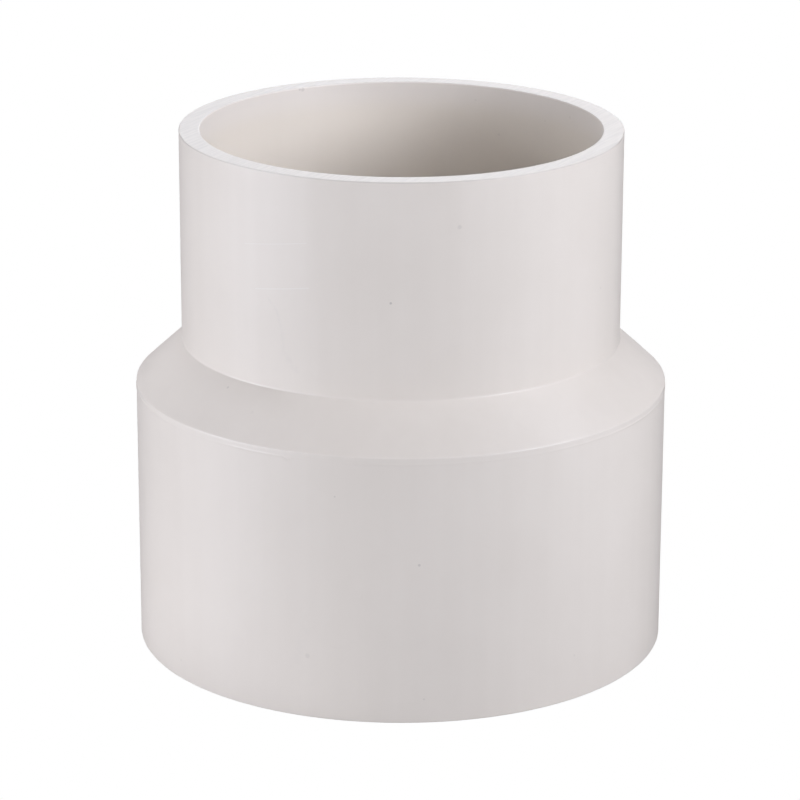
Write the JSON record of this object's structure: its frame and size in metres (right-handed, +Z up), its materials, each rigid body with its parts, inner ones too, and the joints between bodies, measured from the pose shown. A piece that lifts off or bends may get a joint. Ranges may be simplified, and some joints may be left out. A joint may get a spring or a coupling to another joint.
{
  "type": "concentric pipe reducer",
  "caption": "Moulded plastic reducer that joins a wide pipe to a narrower one in line, with a plain glued socket at each end and a conical shoulder between them.",
  "frame": {"origin": "centre of the large socket's rim, which the part stands on", "axes": "+Z runs up the common axis of both sockets, from the large end to the small end; the part is a body of revolution, so +X and +Y are equal"},
  "size_m": [0.1206, 0.1206, 0.1186],
  "materials": {
    "moulded_pvc": "satin off-white PVC-U as it leaves the mould, with a parting line below the shoulder and a trimmed gate mark"
  },
  "bodies": {
    "root": {"reducer_body": "moulded_pvc"}
  },
  "joints": []
}
